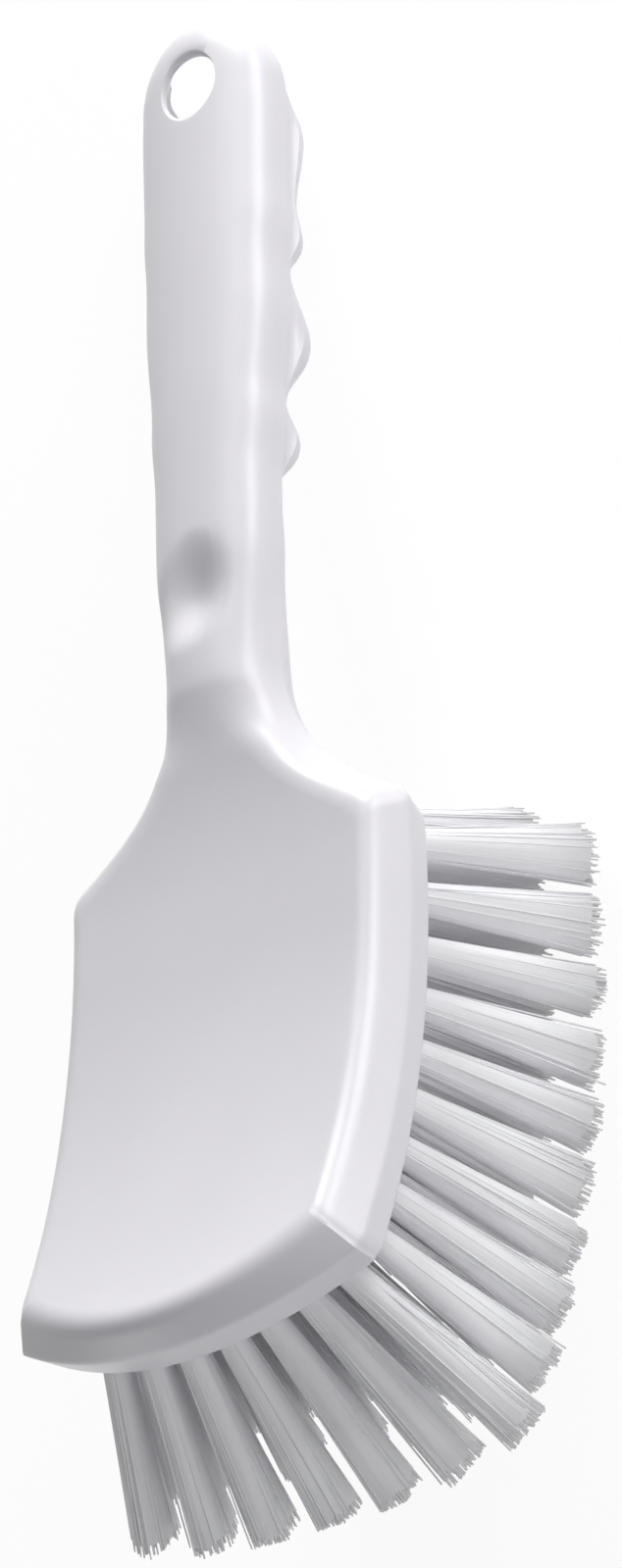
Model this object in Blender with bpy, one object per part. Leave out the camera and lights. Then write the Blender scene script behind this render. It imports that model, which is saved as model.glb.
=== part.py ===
"""Short-handled cleaning brush: one moulded handle and block, and eleven rows of fanned bristle tufts.

The brush is drawn in the frame of its block, X to the tip, Y to the right and Z to the back. An empty then
lays it down as it rests on a table, on the heel row of its tufts and the last crest of its finger grips.
"""

import math
import random

import bmesh
import bpy
import numpy as np
from mathutils import Vector

MM = 0.001

# Back panel of the block: a hollow cylinder face that runs up to the crest of the handle
PANEL_RADIUS = 180.0 * MM
BLOCK_THICKNESS = 14.5 * MM
RIM_HALF_WIDTH = 34.8 * MM
SIDE_HALF_LENGTH = 42.3 * MM
TIP_BULGE = 11.3 * MM
CORNER_CUT = 3.0 * MM
RIM_ROUNDING = 3.2 * MM

# Wall of the block: flared from the rim to the parting line, then drawn in to the underside
WALL_HEIGHT = 7.9 * MM
WALL_FLARE = 3.6 * MM
HEEL_FLARE = 5.0 * MM
SKIRT_DRAW = 1.3 * MM
HEEL_DRAW = 1.2 * MM
EDGE_ROUNDING = 1.2 * MM

# Shoulder between block and neck: lean of its edges at the corner, pull of their curves at both ends
RIM_LEAN_DEG = 32.0
PARTING_LEAN_DEG = 27.0
RIM_CORNER_PULL = 20.0 * MM
RIM_CREST_PULL = 16.0 * MM
PARTING_CORNER_PULL = 14.0 * MM
PARTING_NECK_PULL = 14.0 * MM
SHOULDER_THICKNESS = 16.5 * MM

# Handle: a bar with rounded corners that leans back from the crest
CREST_REACH = 72.7 * MM
CREST_ROUNDING = 0.8 * MM
CREST_HALF_WIDTH = 1.6 * MM
HANDLE_RISE_DEG = 10.26
NECK_REACH = 78.0 * MM
NECK_HALF_WIDTH = 12.2 * MM
NECK_ROUNDING = 8.6 * MM
SLIM_REACH = 100.0 * MM
SLIM_THICKNESS = 13.7 * MM
GRIP_REACH = 176.0 * MM
GRIP_HALF_WIDTH = 15.4 * MM
BAR_ROUNDING = 6.0 * MM
BAR_DRAW = 1.4 * MM
BAR_CROWN = 3.2 * MM
END_REACH = 195.0 * MM
END_LENGTH = 15.5 * MM

# Finger grips: how far back each crest and groove lies, and the thickness of the bar there
FINGERS = (
    (114.0 * MM, 13.8 * MM),
    (126.0 * MM, 20.6 * MM),
    (132.5 * MM, 16.6 * MM),
    (147.0 * MM, 22.6 * MM),
    (159.5 * MM, 17.2 * MM),
    (167.0 * MM, 20.6 * MM),
    (173.5 * MM, 19.0 * MM),
    (188.5 * MM, 21.2 * MM),
    (204.0 * MM, 8.4 * MM),
)
FINGER_SCALLOP = 2.2 * MM
FINGER_FOLD = 4.0 * MM

# Thumb rest and hang hole
THUMB_REACH = 89.2 * MM
THUMB_HALF_WIDTH = 10.0 * MM
THUMB_HALF_LENGTH = 14.0 * MM
THUMB_DEPTH = 3.5 * MM
HANG_HOLE_REACH = 194.5 * MM
HANG_HOLE_RADIUS = 6.3 * MM
HANG_HOLE_ROUNDING = 1.6 * MM
HANG_HOLE_THROAT = 0.8 * MM
HANG_HOLE_MOUTH = 5.8 * MM
HANG_HOLE_MOUTH_DEPTH = 9.0 * MM
HANG_HOLE_LEAN_DEG = 23.0

# Tufts: rows along the block, columns across it, fanned both ways, and a short row nearer the neck
TUFT_ROWS = 10
TUFT_COLUMNS = 7
NECK_ROW_COLUMNS = 5
ROW_PITCH = 9.43 * MM
COLUMN_PITCH = 8.41 * MM
HEEL_ROW_REACH = 44.2 * MM
NECK_ROW_PITCH = 7.6 * MM
TIP_ROW_BULGE = 3.4 * MM
FAN_MIDDLE_DEG = 6.3
FAN_PER_ROW_DEG = 5.4
FAN_PER_COLUMN_DEG = 7.28
TUFT_RADIUS = 2.5 * MM
TUFT_LENGTH = 45.0 * MM
TUFT_SPREAD = 1.6 * MM
TIP_RAGGED = 0.9 * MM
STRAND_RADIUS = 0.75 * MM
STRAND_ROOT = 1.0 * MM
HOLE_DEPTH = 10.5 * MM
HOLE_CLEARANCE = 0.3 * MM
BACKING_THICKNESS = 3.2 * MM
BACKING_MARGIN = 0.3 * MM
REST_TRIM = 1.0 * MM
NECK_ROW_LIFT = 0.5 * MM
OVERRUN = 6.0 * MM

# Counts and shares
NECK_ROW = -1
HOLE_SIDES = 8
ROOT_SIDES = 6
HANG_HOLE_SIDES = 28
STRANDS_PER_TUFT = 4
STRAND_SIDES = 3
RANDOM_SEED = 11
TILT_STEPS = 48
ACROSS_SHARES = (0.26, 0.52, 0.76, 0.93, 1.0)
BLOCK_STATIONS = 9
SHOULDER_STATIONS = 9
NECK_STATIONS = 9
GRIP_STATIONS = 28
END_STATIONS = 5
FILLET_STEPS = 2
WALL_STEPS = 2
FLANK_STEPS = 3
SHOULDER_LIP_SHARE = 0.35
FLANK_SHARE = 0.4
SHARP_DEG = 40.0
PARTING_SHARE = 0.5


def ease(t):
    """Smooth rise from 0 to 1, level at both ends."""
    t = np.clip(t, 0.0, 1.0)
    return t * t * (3.0 - 2.0 * t)


def top_height(x):
    """Height of the back: the panel's arc about Y, rounded into the handle's straight line."""
    arc = PANEL_RADIUS - np.sqrt(np.maximum(PANEL_RADIUS**2 - x**2, 0.0))
    crest = PANEL_RADIUS - math.sqrt(PANEL_RADIUS**2 - CREST_REACH**2)
    line = crest - (x + CREST_REACH) * math.tan(math.radians(HANDLE_RISE_DEG))
    line = np.where(x < -CREST_REACH / 2.0, line, arc + PANEL_RADIUS)
    return 0.5 * (arc + line - np.hypot(arc - line, CREST_ROUNDING))


def thickness(x):
    """Depth of the underside below the back, eased from one named place along the brush to the next."""
    places = ((SIDE_HALF_LENGTH, BLOCK_THICKNESS), (CREST_REACH, SHOULDER_THICKNESS))
    places += ((SLIM_REACH, SLIM_THICKNESS), *FINGERS)
    depth = np.full_like(x, BLOCK_THICKNESS)
    for (near, start), (far, end) in zip(places, places[1:]):
        depth = np.where(-x > near, start + (end - start) * ease((-x - near) / (far - near)), depth)
    return depth


def bar_share(x):
    """How far the neck has become the handle's bar: 0 at the crest, 1 where the handle is slimmest."""
    return ease((-x - CREST_REACH) / (SLIM_REACH - CREST_REACH))


def crown(x, y):
    """Fall of the handle's back towards both sides: a parabola across it that fades out at the crest."""
    return BAR_CROWN * bar_share(x) * (y / GRIP_HALF_WIDTH) ** 2


def parting_depth(x):
    """Depth of the parting line below the back: the wall's height on the block, a share of the bar."""
    share = ease((-x - SIDE_HALF_LENGTH) / (CREST_REACH - SIDE_HALF_LENGTH))
    return WALL_HEIGHT + (PARTING_SHARE * SLIM_THICKNESS - WALL_HEIGHT) * share


def thumb_dish(x, y):
    """Depth of the thumb rest, an oval bowl with a soft rim."""
    away = np.hypot((x + THUMB_REACH) / THUMB_HALF_LENGTH, y / THUMB_HALF_WIDTH)
    return THUMB_DEPTH * (1.0 - ease(away))


def curve(start, start_pull, end_pull, end, steps):
    """Points of the cubic curve that leaves start along start_pull and arrives at end against end_pull."""
    t = np.linspace(0.0, 1.0, steps + 1)[:, None]
    corners = [np.array(p) for p in (start, (start[0] + start_pull[0], start[1] + start_pull[1]))]
    corners += [np.array((end[0] + end_pull[0], end[1] + end_pull[1])), np.array(end)]
    weights = ((1 - t) ** 3, 3 * t * (1 - t) ** 2, 3 * t * t * (1 - t), t**3)
    return sum(w * c for w, c in zip(weights, corners))


def bar_half_width(x):
    """Half-width of the handle's bar at its parting line."""
    share = ease((-x - NECK_REACH) / (GRIP_REACH - NECK_REACH))
    return NECK_HALF_WIDTH + (GRIP_HALF_WIDTH - NECK_HALF_WIDTH) * share


def finger_share(x):
    """How far the underside stands out at the finger grips: 0 for the slim bar, 1 at the deepest crest."""
    deepest = max(depth for _, depth in FINGERS)
    return np.clip((thickness(x) - SLIM_THICKNESS) / (deepest - SLIM_THICKNESS), 0.0, 1.0)


def finger_window(x):
    """1 along the finger grips, easing to 0 before the first crest and past the last one."""
    start = ease((-x - SLIM_REACH) / (FINGERS[1][0] - SLIM_REACH))
    return start * (1.0 - ease((-x - FINGERS[-2][0]) / END_LENGTH))


def finger_pinch(x):
    """How far the underside is drawn in beside the grooves between the fingers."""
    return FINGER_SCALLOP * finger_window(x) * (1.0 - finger_share(x))


def round_corner(before, corner, after):
    """Corner of an outline cut short on both sides and rounded: its middle point and the two after it."""
    start = corner + CORNER_CUT * before
    end = corner + CORNER_CUT * after
    t = np.array((0.0, 0.25, 0.5, 0.75, 1.0))[:, None]
    return (1 - t) ** 2 * start + 2 * t * (1 - t) * corner + t * t * end


def side_stations(half_width, tip_flare, heel_flare, lean, corner_pull, neck, neck_pull, bar_inset):
    """Right-hand edge of a level, seen from the back: side, heel corner, shoulder, bar, end corner."""
    tip = SIDE_HALF_LENGTH + tip_flare
    slope = np.array((2.0 * TIP_BULGE, -half_width)) / math.hypot(2.0 * TIP_BULGE, half_width)
    tip_corner = round_corner(slope, np.array((tip, half_width)), np.array((-1.0, 0.0)))
    away = np.array((-math.sin(lean), -math.cos(lean)))
    heel = np.array((-SIDE_HALF_LENGTH - heel_flare, half_width))
    heel_corner = round_corner(np.array((1.0, 0.0)), heel, away)
    side_x = np.linspace(tip_corner[-1, 0], heel_corner[0, 0], BLOCK_STATIONS)[1:-1]
    side = np.stack((side_x, np.full_like(side_x, half_width)), 1)
    neck_end = (-NECK_REACH, neck)
    shoulder = curve(heel_corner[-1], away * corner_pull, (neck_pull, 0.0), neck_end, SHOULDER_STATIONS)
    first, last = FINGERS[0][0], END_REACH
    neck_x = np.linspace(-NECK_REACH, -first, NECK_STATIONS + 1)[1:]
    bar_x = np.concatenate((neck_x, np.linspace(-first, -last, GRIP_STATIONS + 1)[1:]))
    settle = 1.0 - ease((-bar_x - NECK_REACH) / (SLIM_REACH - NECK_REACH))
    inset = bar_inset(bar_x)
    bar_y = bar_half_width(bar_x) - inset + settle * (neck - bar_half_width(bar_x) + inset)
    bar = np.stack((bar_x, bar_y), 1)
    turn = np.linspace(0.0, math.pi / 4.0, END_STATIONS + 1)[1:, None]
    length = END_LENGTH + bar_y[-1] - GRIP_HALF_WIDTH
    end = np.hstack((-END_REACH - length * np.sin(turn), bar_y[-1] * np.cos(turn)))
    return np.vstack((tip_corner[2:], side, heel_corner, shoulder[1:], bar, end))


def level_grid(half_width, tip_flare, *edge):
    """Points of one level, seen from the back, in rows across the brush from its tip to its end."""
    side = side_stations(half_width, tip_flare, *edge)
    share = np.array(ACROSS_SHARES)
    share = np.concatenate((-share[::-1], (0.0,), share))
    y = side[:, 1:] * share
    tip_x = SIDE_HALF_LENGTH + tip_flare + TIP_BULGE * (1.0 - (y[0] / half_width) ** 2)
    tip_x[[0, -1]] = side[0, 0]
    end_width = side[-1, 1] * math.sqrt(2.0)
    length = END_LENGTH + end_width - GRIP_HALF_WIDTH
    end_x = -END_REACH - length * np.sqrt(1.0 - (y[-1] / end_width) ** 2)
    tip_part = np.clip((side[:, :1] + SIDE_HALF_LENGTH) / (side[0, 0] + SIDE_HALF_LENGTH), 0.0, 1.0)
    end_part = np.clip((-side[:, :1] - END_REACH) / (-side[-1, 0] - END_REACH), 0.0, 1.0) ** 2
    x = side[:, :1] + tip_part * (tip_x - side[0, 0]) + end_part * (end_x - side[-1, 0])
    return np.stack((x, y), 2)


def around(grid):
    """Outer loop of a grid: along the tip edge, down the right, back along the end, up the left."""
    return np.concatenate((grid[0], grid[1:, -1], grid[-1, -2::-1], grid[-2:0:-1, 0]))


def rim_rounding(x):
    """Tangent length of the round between back and wall: tight on the block, wide at neck and bar."""
    neck = ease((-x - SIDE_HALF_LENGTH - NECK_ROUNDING) / (CREST_REACH - SIDE_HALF_LENGTH - NECK_ROUNDING))
    block = RIM_ROUNDING + (NECK_ROUNDING - RIM_ROUNDING) * neck
    return block + (BAR_ROUNDING - NECK_ROUNDING) * bar_share(x)


def edge_rounding(x):
    """Tangent length of the round between the wall and the underside."""
    neck = ease((-x - SIDE_HALF_LENGTH) / (CREST_REACH - SIDE_HALF_LENGTH))
    return EDGE_ROUNDING + (BAR_ROUNDING - EDGE_ROUNDING) * neck


def bend(start, corner, end, steps):
    """Rings of points on the quadratic curve from start to end that is drawn towards corner."""
    places = np.linspace(0, 1, steps + 1)[1:]
    return [(1 - t) ** 2 * start + 2 * t * (1 - t) * corner + t * t * end for t in places]


def sweep(start, leave, arrive, end, steps):
    """Rings of points on the cubic curve from start to end, given what it leaves for and arrives from."""
    rings = []
    for t in np.linspace(0, 1, steps + 1)[1:]:
        s = 1 - t
        rings.append(s**3 * start + 3 * t * s * s * leave + 3 * t * t * s * arrive + t**3 * end)
    return rings


def lifted(points, drop):
    """Plan points as points in space, dropped below the back."""
    return np.column_stack((points, top_height(points[:, 0]) - drop))


def moulding_rings(flat, parting, foot, sole):
    """Closed rings from the edge of the back's face over rim, wall and parting line to the underside."""
    x = flat[:, 0]
    reach = np.linalg.norm(parting - flat, axis=1)[:, None]
    out = (parting - flat) / reach
    tangent = np.minimum(rim_rounding(x)[:, None], reach)
    corner = flat + out * tangent
    fallen = crown(*flat.T)
    start = lifted(flat, fallen)
    slope = 2.0 * crown(x, np.full_like(x, GRIP_HALF_WIDTH)) * flat[:, 1] / GRIP_HALF_WIDTH**2
    corner = lifted(corner, fallen + slope * (corner - flat)[:, 1])
    depth = parting_depth(parting[:, 0])
    line = lifted(parting, depth)
    wall = line - corner
    length = np.linalg.norm(wall, axis=1)[:, None]
    fall = corner + wall * np.minimum(tangent / length, PARTING_SHARE)
    lip = ease((-x - SIDE_HALF_LENGTH) / (CREST_REACH - SIDE_HALF_LENGTH))[:, None]
    bulge = lifted(parting, depth * SHOULDER_LIP_SHARE)
    neck = lip * (1.0 - bar_share(x))[:, None]
    handle = 0.5 * (fall + line) * (1.0 - neck) + bulge * neck
    rings = [start] + bend(start, corner, fall, FILLET_STEPS) + bend(fall, handle, line, WALL_STEPS)
    low = lifted(foot, thickness(foot[:, 0]))
    end = lifted(sole, thickness(sole[:, 0]))
    rise = line - low
    share = np.minimum(edge_rounding(x)[:, None] / np.linalg.norm(rise, axis=1)[:, None], PARTING_SHARE)
    start = low + rise * share
    leave, arrive = flank_pulls(line, start, out, lip)
    return rings + sweep(line, leave, arrive, start, FLANK_STEPS) + bend(start, low, end, FILLET_STEPS)


def flank_pulls(line, start, out, lip):
    """Where the lower flank heads: straight on the block, upright on the handle, folded in at crests."""
    step = start - line
    drop = np.zeros_like(step)
    drop[:, 2] = step[:, 2]
    leave = line + step / 3.0 * (1.0 - lip) + drop * FLANK_SHARE * lip
    arrive = start - step / 3.0 * (1.0 - lip) - drop * FLANK_SHARE * lip
    x = line[:, 0]
    arrive[:, :2] -= out * (FINGER_FOLD * finger_window(x) * finger_share(x) ** 2)[:, None]
    return leave, arrive


def levels():
    """The four levels of the moulding: edge of the back, parting line, foot of the wall, sole's edge."""
    rim_lean = math.radians(RIM_LEAN_DEG)
    parting_lean = math.radians(PARTING_LEAN_DEG)
    rim_inset = RIM_ROUNDING * math.tan(math.pi / 4.0 - rim_lean / 2.0)
    edge_inset = EDGE_ROUNDING * math.tan(math.pi / 4.0 - parting_lean / 2.0)
    parting_half_width = RIM_HALF_WIDTH + WALL_FLARE
    foot_half_width = parting_half_width - SKIRT_DRAW
    foot_flare = WALL_FLARE - SKIRT_DRAW
    foot_heel = HEEL_FLARE - HEEL_DRAW
    foot_neck = NECK_HALF_WIDTH - BAR_DRAW
    flat = level_grid(
        RIM_HALF_WIDTH - RIM_ROUNDING, -RIM_ROUNDING, -rim_inset, rim_lean,
        RIM_CORNER_PULL, CREST_HALF_WIDTH, RIM_CREST_PULL, lambda x: np.full_like(x, BAR_ROUNDING),
    )
    parting = level_grid(
        parting_half_width, WALL_FLARE, HEEL_FLARE, parting_lean,
        PARTING_CORNER_PULL, NECK_HALF_WIDTH, PARTING_NECK_PULL, np.zeros_like,
    )
    foot = level_grid(
        foot_half_width, foot_flare, foot_heel, parting_lean,
        PARTING_CORNER_PULL, foot_neck, PARTING_NECK_PULL, lambda x: BAR_DRAW + finger_pinch(x),
    )
    sole = level_grid(
        foot_half_width - EDGE_ROUNDING, foot_flare - EDGE_ROUNDING, foot_heel - edge_inset, parting_lean,
        PARTING_CORNER_PULL, foot_neck - BAR_ROUNDING, PARTING_NECK_PULL,
        lambda x: BAR_DRAW + BAR_ROUNDING + finger_pinch(x),
    )
    return flat, parting, foot, sole


def moulding_surface():
    """Points and faces of handle and block as one closed skin: back, rings of the wall, sole."""
    flat, parting, foot, sole = levels()
    rows, across = flat.shape[:2]
    plan = flat.reshape(-1, 2).T
    back = lifted(plan.T, crown(*plan) + thumb_dish(*plan))
    under = lifted(sole.reshape(-1, 2), thickness(sole[..., 0].ravel()))
    rings = moulding_rings(*(around(level) for level in (flat, parting, foot, sole)))[1:-1]
    for k, points in enumerate(rings[:FILLET_STEPS]):
        points[:, 2] -= thumb_dish(*points[:, :2].T) * (1.0 - k / FILLET_STEPS)
    grid = np.arange(rows * across).reshape(rows, across)
    count = len(rings[0])
    loops = [around(grid[..., None])[:, 0]]
    loops += [rows * across + k * count + np.arange(count) for k in range(len(rings))]
    low_grid = grid + rows * across + len(rings) * count
    loops.append(around(low_grid[..., None])[:, 0])
    faces = [quads(grid[:-1, :-1], grid[:-1, 1:], grid[1:, 1:], grid[1:, :-1])]
    for upper, lower in zip(loops, loops[1:]):
        faces.append(quads(upper, lower, np.roll(lower, -1), np.roll(upper, -1)))
    faces.append(quads(low_grid[:-1, :-1], low_grid[1:, :-1], low_grid[1:, 1:], low_grid[:-1, 1:]))
    return np.vstack([back, *rings, under]), np.vstack(faces)


def quads(*corners):
    """Four-cornered faces from four arrays of point numbers."""
    return np.stack([c.ravel() for c in corners], 1)


def material(name, colour, roughness):
    """Plain plastic of one colour."""
    finish = bpy.data.materials.new(name)
    finish.use_nodes = True
    shader = finish.node_tree.nodes["Principled BSDF"]
    shader.inputs["Base Color"].default_value = (*colour, 1.0)
    shader.inputs["Roughness"].default_value = roughness
    shader.inputs["Metallic"].default_value = 0.0
    return finish


def add_object(name, points, faces, finish=None):
    """Object from points and faces, shaded smooth but for its sharp edges."""
    mesh = bpy.data.meshes.new(name)
    mesh.from_pydata([tuple(p) for p in points], [], [tuple(f) for f in faces])
    mesh.validate()
    mesh.shade_smooth()
    mesh.set_sharp_from_angle(angle=math.radians(SHARP_DEG))
    piece = bpy.data.objects.new(name, mesh)
    bpy.context.scene.collection.objects.link(piece)
    if finish:
        mesh.materials.append(finish)
    return piece


def add_cutter(target, name, points, faces):
    """Hidden tool body that is cut out of the target."""
    cutter = add_object(name, points, faces)
    cutter.hide_render = True
    cutter.display_type = "WIRE"
    cutter.parent = target
    cut = target.modifiers.new(name, "BOOLEAN")
    cut.operation = "DIFFERENCE"
    cut.solver = "EXACT"
    cut.object = cutter
    return cutter


def joined(bodies):
    """Several lists of points and faces as one."""
    points, faces = [], []
    for body_points, body_faces in bodies:
        faces += [tuple(i + len(points) for i in face) for face in body_faces]
        points += list(body_points)
    return points, faces


def prism(rings):
    """Closed body through rings of equally many points, all turned the same way about their line."""
    sides = len(rings[0])
    points = [p for ring in rings for p in ring]
    faces = [tuple(reversed(range(sides)))]
    for k in range(len(rings) - 1):
        for i in range(sides):
            j = (i + 1) % sides
            faces.append((k * sides + i, k * sides + j, (k + 1) * sides + j, (k + 1) * sides + i))
    faces.append(tuple(range((len(rings) - 1) * sides, len(rings) * sides)))
    return points, faces


def ring(centre, along, radius, sides, turn=0.0):
    """Regular ring of points about centre, square to along, anticlockwise seen from its end."""
    side = along.cross(Vector((0.0, 1.0, 0.0))).normalized()
    up = along.cross(side)
    angles = [turn + math.tau * i / sides for i in range(sides)]
    return [centre + radius * (math.cos(a) * side + math.sin(a) * up) for a in angles]


def columns(row):
    """Columns that a row of tufts fills: all, or only the middle ones in the row nearest the neck."""
    spare = (TUFT_COLUMNS - NECK_ROW_COLUMNS) // 2 if row == NECK_ROW else 0
    return range(spare, TUFT_COLUMNS - spare)


def tuft_seat(row, column):
    """Middle of a tuft's hole in the sole, and the direction in which the tuft leaves it."""
    y = (column - (TUFT_COLUMNS - 1) / 2.0) * COLUMN_PITCH
    x = row * ROW_PITCH - HEEL_ROW_REACH
    if row == NECK_ROW:
        x = -HEEL_ROW_REACH - NECK_ROW_PITCH
    if row == TUFT_ROWS - 1:
        x += TIP_ROW_BULGE * (1.0 - (2.0 * y / ((TUFT_COLUMNS - 1) * COLUMN_PITCH)) ** 2)
    along = math.radians(FAN_MIDDLE_DEG + FAN_PER_ROW_DEG * x / ROW_PITCH)
    across = math.radians(FAN_PER_COLUMN_DEG * y / COLUMN_PITCH)
    place = np.array(x)
    seat = Vector((x, y, float(top_height(place) - thickness(place))))
    flat = math.cos(across)
    return seat, Vector((math.sin(along) * flat, math.sin(across), -math.cos(along) * flat))


def root_end(seat, leave):
    """Where a tuft's root ends, half-way through the slice of backing that carries its row."""
    lean = math.hypot(leave.x, leave.z)
    return seat - leave * ((HOLE_DEPTH - BACKING_THICKNESS / 2.0) / lean)


def backing_slice(row, clearance):
    """Slice of backing that holds the roots of one row, leaning with them and bent where the row is."""
    seats = [tuft_seat(row, column) for column in columns(row)]
    centres = [root_end(*seat) for seat in seats]
    wide = TUFT_RADIUS + BACKING_MARGIN + clearance
    high = BACKING_THICKNESS / 2.0 + clearance
    end = Vector((0.0, TUFT_RADIUS + BACKING_THICKNESS / 2.0 + clearance, 0.0))
    centres[0] = centres[0] - end
    centres[-1] = centres[-1] + end
    rings = []
    for centre, (_, leave) in zip(centres, seats):
        lean = Vector((leave.x, 0.0, leave.z)).normalized()
        side = lean.cross(Vector((0.0, 1.0, 0.0)))
        corners = ((-wide, -high), (wide, -high), (wide, high), (-wide, high))
        rings.append([centre + side * a + lean * b for a, b in corners])
    return prism(rings)


def tuft_hole(seat, leave):
    """Drilled hole of one tuft, round the widest part of its root, and on past the sole."""
    radius = (TUFT_RADIUS + HOLE_CLEARANCE) / math.cos(math.pi / HOLE_SIDES)
    ends = (root_end(seat, leave), seat + leave * OVERRUN)
    return prism([ring(p, leave, radius, HOLE_SIDES) for p in ends])


def tuft_root(seat, leave):
    """Folded root of one tuft, from the slice of backing to the sole."""
    return prism([ring(p, leave, TUFT_RADIUS, ROOT_SIDES) for p in (root_end(seat, leave), seat)])


def tuft_strands(seat, leave, chance):
    """Bristles of one tuft as rings at root and tip: one in the middle, the rest about it, ends ragged."""
    strands = []
    radius = TUFT_RADIUS - STRAND_RADIUS
    turn = chance.uniform(0.0, math.tau)
    for k in range(STRANDS_PER_TUFT):
        angle = turn + math.tau * k / (STRANDS_PER_TUFT - 1)
        side = ring(Vector(), leave, min(k, 1), 1, angle)[0]
        start = seat - leave * STRAND_ROOT + side * radius
        end = seat + leave * (TUFT_LENGTH - chance.uniform(0.0, TIP_RAGGED)) + side * (radius + TUFT_SPREAD)
        along = (end - start).normalized()
        strands.append([ring(p, along, STRAND_RADIUS, STRAND_SIDES, angle) for p in (start, end)])
    return strands


def lowest(points, tilt):
    """Lowest height among points when the brush is tilted tip up by an angle."""
    points = np.array(points)
    return float((points[:, 0] * math.sin(tilt) + points[:, 2] * math.cos(tilt)).min())


def rest_tilt(handle_points, tip_points):
    """Tilt at which the finger grips come down to the level of the heel row's trimmed tips."""
    low, high = 0.0, math.pi / 3.0
    for _ in range(TILT_STEPS):
        middle = 0.5 * (low + high)
        if lowest(handle_points, middle) > lowest(tip_points, middle) + REST_TRIM:
            low = middle
        else:
            high = middle
    return high


def trimmed(strand, up, level):
    """Strand with the corners of its end slid back along it to a level over the table."""
    start, end = strand
    cut = []
    for root, tip in zip(start, end):
        along = (tip - root).normalized()
        short = max(level - tip.dot(up), 0.0)
        cut.append(tip + along * (short / along.dot(up)))
    return [start, cut]


def turned(profile, sides):
    """Closed body of rings square to Z, from radii, heights and shifts against X, lowest ring first."""
    up = Vector((0.0, 0.0, 1.0))
    half = math.pi / sides
    rings = []
    for radius, height, shift in profile:
        rings.append(ring(Vector((-shift, 0.0, height)), up, radius, sides, half))
    return prism(rings)


def hang_hole_profile():
    """Radii, heights and shifts of the hang hole: mouth leaning to the end, short throat, round lip."""
    lip = []
    for k in range(FILLET_STEPS):
        turn = math.pi / 2.0 * k / FILLET_STEPS
        widened = HANG_HOLE_ROUNDING * (1.0 - math.cos(turn))
        lip.append((HANG_HOLE_RADIUS + widened, HANG_HOLE_ROUNDING * (math.sin(turn) - 1.0), 0.0))
    wide = HANG_HOLE_RADIUS + HANG_HOLE_ROUNDING
    throat = HANG_HOLE_THROAT + HANG_HOLE_ROUNDING
    below = max(depth for _, depth in FINGERS) + OVERRUN
    lean = math.tan(math.radians(HANG_HOLE_LEAN_DEG))
    mouth_radius = HANG_HOLE_RADIUS + HANG_HOLE_MOUTH
    mouth = [(mouth_radius, -depth, (depth - throat) * lean) for depth in (below, HANG_HOLE_MOUTH_DEPTH)]
    mouth.append((HANG_HOLE_RADIUS, -throat, 0.0))
    return mouth + lip + [(wide, 0.0, 0.0), (wide + OVERRUN, OVERRUN, 0.0)]


def make_moulding(finish):
    """Handle and block, with the hang hole, the drilled tuft holes and the slots for the backing slices."""
    body = add_object("handle_block", *moulding_surface(), finish)
    hole = add_cutter(body, "hang_hole_cutter", *turned(hang_hole_profile(), HANG_HOLE_SIDES))
    height = float(top_height(np.array(-HANG_HOLE_REACH)))
    hole.location = (-HANG_HOLE_REACH, 0.0, height)
    hole.rotation_euler = (0.0, math.radians(HANDLE_RISE_DEG), 0.0)
    rows = range(NECK_ROW, TUFT_ROWS)
    add_cutter(body, "backing_cutter", *joined(backing_slice(row, HOLE_CLEARANCE) for row in rows))
    seats = [tuft_seat(row, column) for row in rows for column in columns(row)]
    add_cutter(body, "tuft_hole_cutter", *joined(tuft_hole(*seat) for seat in seats))
    return body


def make_row(row, strands, finish):
    """One row of tufts: folded roots on their slice of backing, and the bristles that fan out of them."""
    bodies = [backing_slice(row, 0.0)]
    bodies += [tuft_root(*tuft_seat(row, column)) for column in columns(row)]
    bodies += [prism(strand) for strand in strands]
    return fused(f"tuft_row_{row + 1:02d}", *joined(bodies), finish)


def fused(name, points, faces, finish):
    """One closed body from several that run into each other."""
    core = add_object(name, points, faces, finish)
    mesh = bmesh.new()
    mesh.from_mesh(core.data)
    bmesh.ops.recalc_face_normals(mesh, faces=mesh.faces)
    mesh.to_mesh(core.data)
    mesh.free()
    spare = bpy.data.objects.new(name + "_guide", bpy.data.meshes.new(name + "_guide"))
    bpy.context.scene.collection.objects.link(spare)
    spare.hide_render = True
    spare.display_type = "WIRE"
    union = core.modifiers.new("Fuse", "BOOLEAN")
    union.operation = "UNION"
    union.solver = "EXACT"
    union.use_self = True
    union.object = spare
    return core


def grow_strands():
    """Bristles of every row, row by row."""
    chance = random.Random(RANDOM_SEED)
    rows = []
    for row in range(NECK_ROW, TUFT_ROWS):
        seats = [tuft_seat(row, column) for column in columns(row)]
        rows.append([strand for seat in seats for strand in tuft_strands(*seat, chance)])
    return rows


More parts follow.
